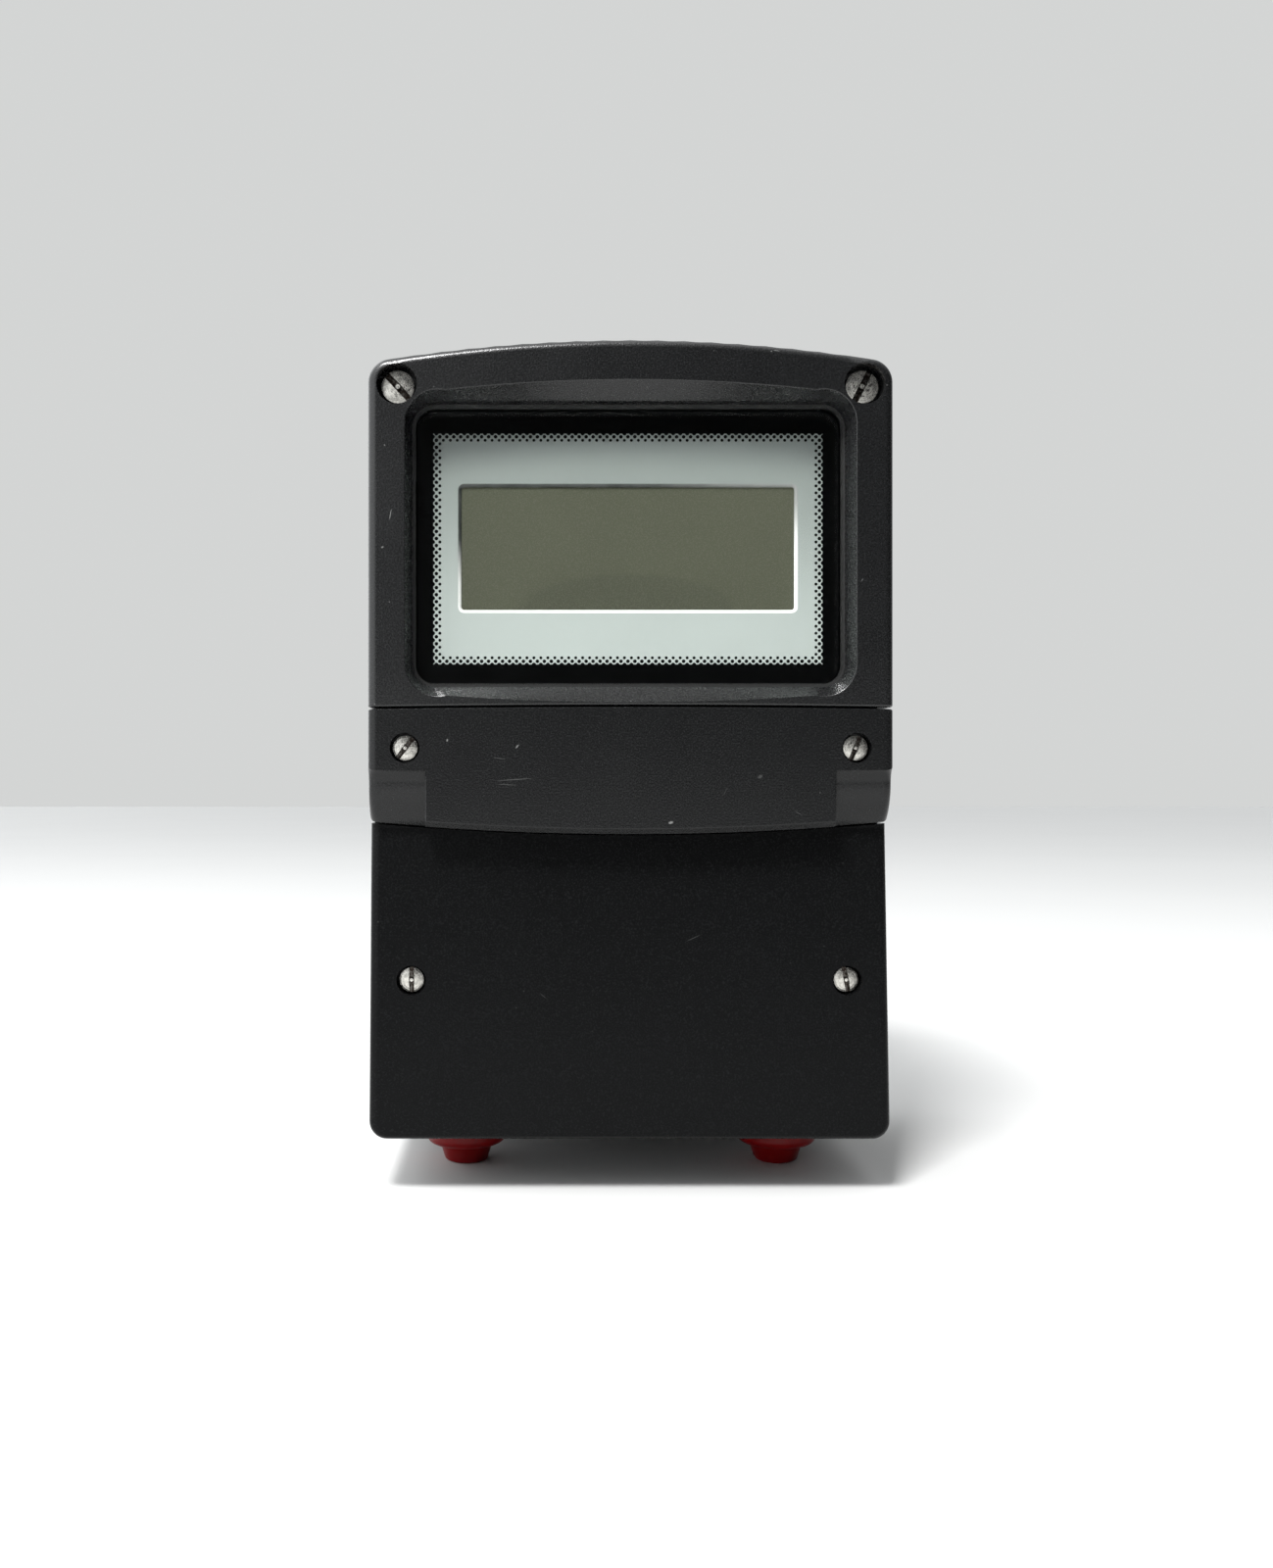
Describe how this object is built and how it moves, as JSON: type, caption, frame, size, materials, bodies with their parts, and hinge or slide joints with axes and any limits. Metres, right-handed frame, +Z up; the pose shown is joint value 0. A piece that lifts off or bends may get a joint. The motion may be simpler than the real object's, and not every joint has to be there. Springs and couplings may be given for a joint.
{
  "type": "wall instrument housing",
  "caption": "Charcoal wall-mounted instrument with a recessed display window, lift-off front covers on captive slotted screws, and red plugs in its cable entries.",
  "frame": {"origin": "on the standing surface, under the middle of the bounding box", "axes": "+X to the object's right as seen from the front, +Y from the front to the wall behind, +Z up"},
  "size_m": [0.1448, 0.1, 0.2525],
  "materials": {
    "housing_plastic": "fine moulded texture, satin charcoal black",
    "seal_rubber": "soft black seal",
    "ring_rubber": "soft black ring",
    "screw_steel": "turned nickel-plated steel",
    "brass": "turned brass",
    "plate_steel": "zinc-plated sheet",
    "lens": "glossy clear window",
    "mask_print": "black film with a silver print",
    "display_glass": "grey-olive liquid crystal glass",
    "light_guide": "milky light guide",
    "bezel_plastic": "moulded black",
    "circuit_board": "green solder mask",
    "core_steel": "laminated steel edges",
    "winding_tape": "yellow winding tape",
    "relay_plastic": "moulded blue",
    "capacitor_sleeve": "shrink sleeve",
    "chip_plastic": "moulded black",
    "cable_grey": "grey ribbon",
    "terminal_grey": "moulded grey-green",
    "fuse_cap_metal": "nickel-plated cap",
    "fuse_glass": "clear tube",
    "plug_red": "moulded translucent red"
  },
  "bodies": {
    "housing": {"rear_housing": "housing_plastic", "upper_seal": "seal_rubber", "band_seal": "seal_rubber", "lower_seal": "seal_rubber", "cover_screw_inserts": "brass", "wall_plate": "plate_steel", "wall_plate_screws": "screw_steel", "display_glass": "display_glass", "display_light": "light_guide", "display_bezel": "bezel_plastic", "main_board": "circuit_board", "display_board": "circuit_board", "terminal_board": "circuit_board", "main_board_posts": "brass", "terminal_board_posts": "brass", "display_pillars": "brass", "display_board_screws": "screw_steel", "terminal_board_screws": "screw_steel", "transformer_core": "core_steel", "transformer_winding": "winding_tape", "relays": "relay_plastic", "filter_capacitors": "capacitor_sleeve", "board_chips": "chip_plastic", "board_connectors": "bezel_plastic", "link_cable": "cable_grey", "ribbon_cable": "cable_grey", "mains_terminal_block": "terminal_grey", "signal_terminal_block": "terminal_grey", "terminal_block_screws": "screw_steel", "earth_terminal": "brass", "fuse_holder": "bezel_plastic", "fuse_caps": "fuse_cap_metal", "fuse_tube": "fuse_glass"},
    "display_cover": {"display_cover": "housing_plastic", "window_lens": "lens", "lens_gasket": "seal_rubber", "printed_mask": "mask_print"},
    "band_cover": {"band_cover": "housing_plastic"},
    "terminal_cover": {"terminal_cover": "housing_plastic"},
    "display_screw_left_ring": {"display_screw_ring_left": "ring_rubber"},
    "display_screw_left": {"display_screw_left": "screw_steel"},
    "display_screw_right_ring": {"display_screw_ring_right": "ring_rubber"},
    "display_screw_right": {"display_screw_right": "screw_steel"},
    "band_screw_left_ring": {"band_screw_ring_left": "ring_rubber"},
    "band_screw_left": {"band_screw_left": "screw_steel"},
    "band_screw_right_ring": {"band_screw_ring_right": "ring_rubber"},
    "band_screw_right": {"band_screw_right": "screw_steel"},
    "terminal_screw_left_ring": {"terminal_screw_ring_left": "ring_rubber"},
    "terminal_screw_left": {"terminal_screw_left": "screw_steel"},
    "terminal_screw_right_ring": {"terminal_screw_ring_right": "ring_rubber"},
    "terminal_screw_right": {"terminal_screw_right": "screw_steel"},
    "entry_plug_left_ring": {"plug_seal_left": "ring_rubber"},
    "entry_plug_left": {"entry_plug_left": "plug_red"},
    "entry_plug_right_ring": {"plug_seal_right": "ring_rubber"},
    "entry_plug_right": {"entry_plug_right": "plug_red"}
  },
  "joints": [
    {"name": "display_cover_lift", "type": "slide", "parent": "housing", "child": "display_cover", "axis": [0, -1, 0], "range_m": [0, 0.06]},
    {"name": "band_cover_lift", "type": "slide", "parent": "housing", "child": "band_cover", "axis": [0, -1, 0], "range_m": [0, 0.05]},
    {"name": "terminal_cover_lift", "type": "slide", "parent": "housing", "child": "terminal_cover", "axis": [0, -1, 0], "range_m": [0, 0.06]},
    {"name": "display_screw_left_travel", "type": "slide", "parent": "display_cover", "child": "display_screw_left_ring", "axis": [0, -1, 0], "range_m": [0, 0.008]},
    {"name": "display_screw_left_turn", "type": "hinge", "parent": "display_screw_left_ring", "child": "display_screw_left", "pos_m": [-0.0643, -0.045, 0.224], "axis": [0, -1, 0], "range_deg": [-15, 3615]},
    {"name": "display_screw_right_travel", "type": "slide", "parent": "display_cover", "child": "display_screw_right_ring", "axis": [0, -1, 0], "range_m": [0, 0.008]},
    {"name": "display_screw_right_turn", "type": "hinge", "parent": "display_screw_right_ring", "child": "display_screw_right", "pos_m": [0.0643, -0.045, 0.224], "axis": [0, -1, 0], "range_deg": [-15, 3615]},
    {"name": "band_screw_left_travel", "type": "slide", "parent": "band_cover", "child": "band_screw_left_ring", "axis": [0, -1, 0], "range_m": [0, 0.007]},
    {"name": "band_screw_left_turn", "type": "hinge", "parent": "band_screw_left_ring", "child": "band_screw_left", "pos_m": [-0.0621, -0.045, 0.1239], "axis": [0, -1, 0], "range_deg": [-15, 3615]},
    {"name": "band_screw_right_travel", "type": "slide", "parent": "band_cover", "child": "band_screw_right_ring", "axis": [0, -1, 0], "range_m": [0, 0.007]},
    {"name": "band_screw_right_turn", "type": "hinge", "parent": "band_screw_right_ring", "child": "band_screw_right", "pos_m": [0.0621, -0.045, 0.1239], "axis": [0, -1, 0], "range_deg": [-15, 3615]},
    {"name": "terminal_screw_left_travel", "type": "slide", "parent": "terminal_cover", "child": "terminal_screw_left_ring", "axis": [0, -1, 0], "range_m": [0, 0.007]},
    {"name": "terminal_screw_left_turn", "type": "hinge", "parent": "terminal_screw_left_ring", "child": "terminal_screw_left", "pos_m": [-0.0608, -0.045, 0.0592], "axis": [0, -1, 0], "range_deg": [-15, 3615]},
    {"name": "terminal_screw_right_travel", "type": "slide", "parent": "terminal_cover", "child": "terminal_screw_right_ring", "axis": [0, -1, 0], "range_m": [0, 0.007]},
    {"name": "terminal_screw_right_turn", "type": "hinge", "parent": "terminal_screw_right_ring", "child": "terminal_screw_right", "pos_m": [0.0608, -0.045, 0.0592], "axis": [0, -1, 0], "range_deg": [-15, 3615]},
    {"name": "entry_plug_left_travel", "type": "slide", "parent": "housing", "child": "entry_plug_left_ring", "axis": [0, 0, -1], "range_m": [0, 0.0075]},
    {"name": "entry_plug_left_turn", "type": "hinge", "parent": "entry_plug_left_ring", "child": "entry_plug_left", "pos_m": [-0.047, -0.0115, 0.0113], "axis": [0, 0, -1], "range_deg": [-15, 1815]},
    {"name": "entry_plug_right_travel", "type": "slide", "parent": "housing", "child": "entry_plug_right_ring", "axis": [0, 0, -1], "range_m": [0, 0.0075]},
    {"name": "entry_plug_right_turn", "type": "hinge", "parent": "entry_plug_right_ring", "child": "entry_plug_right", "pos_m": [0.047, -0.0115, 0.0113], "axis": [0, 0, -1], "range_deg": [-15, 1815]}
  ],
  "couplings": [
    {"joint": "display_screw_left_turn", "follows": "display_screw_left_travel", "rad_per_m": 7854},
    {"joint": "display_screw_right_turn", "follows": "display_screw_right_travel", "rad_per_m": 7854},
    {"joint": "band_screw_left_turn", "follows": "band_screw_left_travel", "rad_per_m": 8976},
    {"joint": "band_screw_right_turn", "follows": "band_screw_right_travel", "rad_per_m": 8976},
    {"joint": "terminal_screw_left_turn", "follows": "terminal_screw_left_travel", "rad_per_m": 8976},
    {"joint": "terminal_screw_right_turn", "follows": "terminal_screw_right_travel", "rad_per_m": 8976},
    {"joint": "entry_plug_left_turn", "follows": "entry_plug_left_travel", "rad_per_m": 4188.8},
    {"joint": "entry_plug_right_turn", "follows": "entry_plug_right_travel", "rad_per_m": 4188.8}
  ]
}
